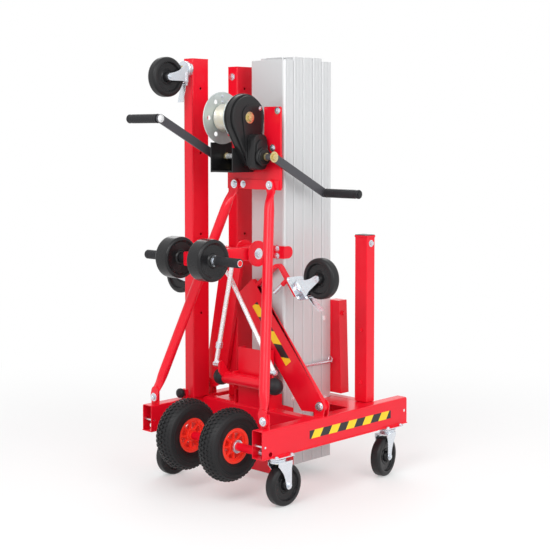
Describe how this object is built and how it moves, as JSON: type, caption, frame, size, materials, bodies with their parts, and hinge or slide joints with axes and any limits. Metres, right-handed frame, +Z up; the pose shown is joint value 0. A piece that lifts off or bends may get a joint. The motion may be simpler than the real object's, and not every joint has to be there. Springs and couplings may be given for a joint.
{
  "type": "material lift",
  "caption": "Hand-winched telescopic material lift on a wheeled base, stowed upright with outriggers, long legs and forks.",
  "frame": {"origin": "on the floor, below the middle of the part's box", "axes": "+Z up, +Y towards the load side with the carriage, -Y towards the winch, +X to the operator's right"},
  "size_m": [0.9127, 0.898, 1.589],
  "materials": {
    "red_powder_coat": "satin",
    "drawn_aluminium": "satin",
    "zinc_plate": "satin",
    "black_coat": "satin",
    "grip_plastic": "matte",
    "wheel_rubber": "matte",
    "pneumatic_tyre": "matte"
  },
  "bodies": {
    "chassis": {"right_beam": "red_powder_coat", "left_beam": "red_powder_coat", "rear_cross_member": "red_powder_coat", "front_cross_member": "red_powder_coat", "mast_section_1": "drawn_aluminium", "winch_mount": "red_powder_coat", "right_stay_strut": "red_powder_coat", "left_stay_strut": "red_powder_coat", "wheel_axle": "zinc_plate", "winch_frame": "black_coat", "gear_cover": "black_coat", "brake_housing": "black_coat", "arm_bracket": "red_powder_coat", "rest_bar": "red_powder_coat", "stay_rod_1": "zinc_plate", "stay_rod_2": "zinc_plate", "transport_lock_rod": "zinc_plate"},
    "right_pneumatic": {"right_pneumatic_wheel": "pneumatic_tyre"},
    "left_pneumatic": {"left_pneumatic_wheel": "pneumatic_tyre"},
    "mast_2": {"mast_section_2": "drawn_aluminium"},
    "mast_3": {"mast_section_3": "drawn_aluminium"},
    "mast_4": {"mast_section_4": "drawn_aluminium"},
    "mast_5": {"mast_section_5": "drawn_aluminium"},
    "lift_carriage": {"carriage": "red_powder_coat"},
    "drum": {"cable_drum": "black_coat"},
    "crank_arms": {"crank": "black_coat"},
    "right_grip": {"right_crank_grip": "grip_plastic"},
    "left_grip": {"left_crank_grip": "grip_plastic"},
    "loading_arm": {"roller_arm": "red_powder_coat"},
    "right_loading_roller": {"right_roller": "grip_plastic"},
    "left_loading_roller": {"left_roller": "grip_plastic"},
    "right_out": {"right_outrigger_leg": "red_powder_coat"},
    "left_out": {"left_outrigger_leg": "red_powder_coat"},
    "right_pin": {"right_outrigger_lock_pin": "zinc_plate"},
    "left_pin": {"left_outrigger_lock_pin": "zinc_plate"},
    "leg_1": {"long_leg_1": "red_powder_coat"},
    "leg_2": {"long_leg_2": "red_powder_coat"},
    "right_fork_tube": {"right_fork": "red_powder_coat"},
    "left_fork_tube": {"left_fork": "red_powder_coat"},
    "plunger_knob": {"plunger": "black_coat"},
    "rear_right_caster_fork_body": {"rear_right_caster_fork": "zinc_plate"},
    "rear_right_caster_wheel_body": {"rear_right_caster_wheel": "wheel_rubber"},
    "front_right_caster_fork_body": {"front_right_caster_fork": "zinc_plate"},
    "front_right_caster_wheel_body": {"front_right_caster_wheel": "wheel_rubber"},
    "rear_left_caster_fork_body": {"rear_left_caster_fork": "zinc_plate"},
    "rear_left_caster_wheel_body": {"rear_left_caster_wheel": "wheel_rubber"},
    "front_left_caster_fork_body": {"front_left_caster_fork": "zinc_plate"},
    "front_left_caster_wheel_body": {"front_left_caster_wheel": "wheel_rubber"},
    "right_outrigger_fork_body": {"right_outrigger_fork": "zinc_plate"},
    "right_outrigger_wheel_body": {"right_outrigger_wheel": "wheel_rubber"},
    "right_outrigger_pedal_body": {"right_outrigger_brake_pedal": "zinc_plate"},
    "left_outrigger_fork_body": {"left_outrigger_fork": "zinc_plate"},
    "left_outrigger_wheel_body": {"left_outrigger_wheel": "wheel_rubber"},
    "left_outrigger_pedal_body": {"left_outrigger_brake_pedal": "zinc_plate"},
    "long_leg_1_fork_body": {"long_leg_1_fork": "zinc_plate"},
    "long_leg_1_wheel_body": {"long_leg_1_wheel": "wheel_rubber"},
    "long_leg_1_pedal_body": {"long_leg_1_brake_pedal": "zinc_plate"},
    "long_leg_2_fork_body": {"long_leg_2_fork": "zinc_plate"},
    "long_leg_2_wheel_body": {"long_leg_2_wheel": "wheel_rubber"},
    "long_leg_2_pedal_body": {"long_leg_2_brake_pedal": "zinc_plate"}
  },
  "joints": [
    {"name": "right_pneumatic_spin", "type": "hinge", "parent": "chassis", "child": "right_pneumatic", "pos_m": [0.22765, -0.3, 0.2], "axis": [1, 0, 0], "continuous": true},
    {"name": "left_pneumatic_spin", "type": "hinge", "parent": "chassis", "child": "left_pneumatic", "pos_m": [0.00065, -0.3, 0.2], "axis": [1, 0, 0], "continuous": true},
    {"name": "mast_raise", "type": "slide", "parent": "chassis", "child": "mast_2", "axis": [0, 0, 1], "range_m": [0, 1.2]},
    {"name": "mast_section_3_raise", "type": "slide", "parent": "mast_2", "child": "mast_3", "axis": [0, 0, 1], "range_m": [0, 1.2]},
    {"name": "mast_section_4_raise", "type": "slide", "parent": "mast_3", "child": "mast_4", "axis": [0, 0, 1], "range_m": [0, 1.2]},
    {"name": "mast_section_5_raise", "type": "slide", "parent": "mast_4", "child": "mast_5", "axis": [0, 0, 1], "range_m": [0, 1.2]},
    {"name": "carriage_raise", "type": "slide", "parent": "mast_5", "child": "lift_carriage", "axis": [0, 0, 1], "range_m": [0, 0.9]},
    {"name": "drum_turn", "type": "hinge", "parent": "chassis", "child": "drum", "pos_m": [0.06515, -0.136, 1.36], "axis": [1, 0, 0], "range_deg": [0, 1325]},
    {"name": "crank_turn", "type": "hinge", "parent": "chassis", "child": "crank_arms", "pos_m": [0.11415, -0.11, 1.218], "axis": [-1, 0, 0], "range_deg": [-95, 15]},
    {"name": "right_crank_grip_turn", "type": "hinge", "parent": "crank_arms", "child": "right_grip", "pos_m": [0.35215, 0.16176, 1.07953], "axis": [1, 0, 0], "continuous": true},
    {"name": "left_crank_grip_turn", "type": "hinge", "parent": "crank_arms", "child": "left_grip", "pos_m": [-0.13885, -0.38176, 1.35647], "axis": [1, 0, 0], "continuous": true},
    {"name": "roller_arm_tilt", "type": "hinge", "parent": "chassis", "child": "loading_arm", "pos_m": [0.11415, -0.081, 0.85987], "axis": [-1, 0, 0], "range_deg": [0, 50]},
    {"name": "right_roller_turn", "type": "hinge", "parent": "loading_arm", "child": "right_loading_roller", "pos_m": [0.19815, -0.374, 0.85987], "axis": [1, 0, 0], "continuous": true},
    {"name": "left_roller_turn", "type": "hinge", "parent": "loading_arm", "child": "left_loading_roller", "pos_m": [0.03015, -0.374, 0.85987], "axis": [1, 0, 0], "continuous": true},
    {"name": "right_outrigger_fold", "type": "hinge", "parent": "chassis", "child": "right_out", "pos_m": [0.41415, -0.017, 0.322], "axis": [0, 1, 0], "range_deg": [0, 126]},
    {"name": "left_outrigger_fold", "type": "hinge", "parent": "chassis", "child": "left_out", "pos_m": [-0.18585, -0.017, 0.322], "axis": [0, -1, 0], "range_deg": [0, 97]},
    {"name": "right_lock_pin_pull", "type": "slide", "parent": "right_out", "child": "right_pin", "axis": [-0.7771, 0, -0.6293], "range_m": [0, 0.015]},
    {"name": "left_lock_pin_pull", "type": "slide", "parent": "left_out", "child": "left_pin", "axis": [0.9863, 0, -0.165], "range_m": [0, 0.015]},
    {"name": "long_leg_1_lift", "type": "slide", "parent": "chassis", "child": "leg_1", "axis": [0, 0, 1], "range_m": [0, 0.12]},
    {"name": "long_leg_2_lift", "type": "slide", "parent": "chassis", "child": "leg_2", "axis": [0, 0, 1], "range_m": [0, 0.12]},
    {"name": "right_fork_lift", "type": "slide", "parent": "chassis", "child": "right_fork_tube", "axis": [0, 0, 1], "range_m": [0, 0.1]},
    {"name": "left_fork_lift", "type": "slide", "parent": "chassis", "child": "left_fork_tube", "axis": [0, 0, 1], "range_m": [0, 0.1]},
    {"name": "plunger_draw", "type": "slide", "parent": "chassis", "child": "plunger_knob", "axis": [0, -1, 0], "range_m": [0, 0.012], "stiffness_N_per_m": 300, "springref_m": -0.01},
    {"name": "rear_right_caster_swivel", "type": "hinge", "parent": "chassis", "child": "rear_right_caster_fork_body", "pos_m": [0.40715, -0.243, 0.186], "axis": [0, 0, 1], "continuous": true},
    {"name": "rear_right_caster_wheel_spin", "type": "hinge", "parent": "rear_right_caster_fork_body", "child": "rear_right_caster_wheel_body", "pos_m": [0.40715, -0.211, 0.075], "axis": [1, 0, 0], "continuous": true},
    {"name": "front_right_caster_swivel", "type": "hinge", "parent": "chassis", "child": "front_right_caster_fork_body", "pos_m": [0.40715, 0.362, 0.186], "axis": [0, 0, 1], "continuous": true},
    {"name": "front_right_caster_wheel_spin", "type": "hinge", "parent": "front_right_caster_fork_body", "child": "front_right_caster_wheel_body", "pos_m": [0.4138, 0.3307, 0.075], "axis": [-0.9781, -0.2079, 0], "continuous": true},
    {"name": "rear_left_caster_swivel", "type": "hinge", "parent": "chassis", "child": "rear_left_caster_fork_body", "pos_m": [-0.17885, -0.243, 0.186], "axis": [0, 0, 1], "continuous": true},
    {"name": "rear_left_caster_wheel_spin", "type": "hinge", "parent": "rear_left_caster_fork_body", "child": "rear_left_caster_wheel_body", "pos_m": [-0.17885, -0.211, 0.075], "axis": [1, 0, 0], "continuous": true},
    {"name": "front_left_caster_swivel", "type": "hinge", "parent": "chassis", "child": "front_left_caster_fork_body", "pos_m": [-0.17885, 0.362, 0.186], "axis": [0, 0, 1], "continuous": true},
    {"name": "front_left_caster_wheel_spin", "type": "hinge", "parent": "front_left_caster_fork_body", "child": "front_left_caster_wheel_body", "pos_m": [-0.1855, 0.3307, 0.075], "axis": [-0.9781, 0.2079, 0], "continuous": true},
    {"name": "right_outrigger_swivel", "type": "hinge", "parent": "right_out", "child": "right_outrigger_fork_body", "pos_m": [0.27537, 0.012, 0.73333], "axis": [-0.7771, 0, -0.6293], "continuous": true},
    {"name": "right_outrigger_wheel_spin", "type": "hinge", "parent": "right_outrigger_fork_body", "child": "right_outrigger_wheel_body", "pos_m": [0.38177, 0.012, 0.77831], "axis": [0, 1, 0], "continuous": true},
    {"name": "right_outrigger_brake", "type": "hinge", "parent": "right_outrigger_fork_body", "child": "right_outrigger_pedal_body", "pos_m": [0.3305, 0.012, 0.70656], "axis": [0, 1, 0], "range_deg": [-12, 0]},
    {"name": "left_outrigger_swivel", "type": "hinge", "parent": "left_out", "child": "left_outrigger_fork_body", "pos_m": [-0.2676, 0.012, 0.74834], "axis": [0.9863, 0, -0.165], "continuous": true},
    {"name": "left_outrigger_wheel_spin", "type": "hinge", "parent": "left_outrigger_fork_body", "child": "left_outrigger_wheel_body", "pos_m": [-0.38236, 0.012, 0.7351], "axis": [0, -1, 0], "continuous": true},
    {"name": "left_outrigger_brake", "type": "hinge", "parent": "left_outrigger_fork_body", "child": "left_outrigger_pedal_body", "pos_m": [-0.30241, 0.012, 0.69789], "axis": [0, -1, 0], "range_deg": [-12, 0]},
    {"name": "long_leg_1_swivel", "type": "hinge", "parent": "leg_1", "child": "long_leg_1_fork_body", "pos_m": [-0.17085, -0.136, 1.546], "axis": [0, 1, 0], "continuous": true},
    {"name": "long_leg_1_wheel_spin", "type": "hinge", "parent": "long_leg_1_fork_body", "child": "long_leg_1_wheel_body", "pos_m": [-0.17085, -0.247, 1.514], "axis": [1, 0, 0], "continuous": true},
    {"name": "long_leg_1_brake", "type": "hinge", "parent": "long_leg_1_fork_body", "child": "long_leg_1_pedal_body", "pos_m": [-0.17085, -0.162, 1.4905], "axis": [1, 0, 0], "range_deg": [-12, 0]},
    {"name": "long_leg_2_swivel", "type": "hinge", "parent": "leg_2", "child": "long_leg_2_fork_body", "pos_m": [-0.06535, 0.079, 1.516], "axis": [0, -1, 0], "range_deg": [-90, 0]},
    {"name": "long_leg_2_wheel_spin", "type": "hinge", "parent": "long_leg_2_fork_body", "child": "long_leg_2_wheel_body", "pos_m": [-0.06535, 0.19, 1.484], "axis": [-1, 0, 0], "continuous": true},
    {"name": "long_leg_2_brake", "type": "hinge", "parent": "long_leg_2_fork_body", "child": "long_leg_2_pedal_body", "pos_m": [-0.06535, 0.105, 1.4605], "axis": [-1, 0, 0], "range_deg": [-12, 0]}
  ],
  "couplings": [
    {"joint": "mast_section_3_raise", "follows": "mast_raise", "ratio": 1},
    {"joint": "mast_section_4_raise", "follows": "mast_raise", "ratio": 1},
    {"joint": "mast_section_5_raise", "follows": "mast_raise", "ratio": 1},
    {"joint": "carriage_raise", "follows": "mast_raise", "ratio": 0.75},
    {"joint": "drum_turn", "follows": "mast_raise", "rad_per_m": 19.2}
  ]
}
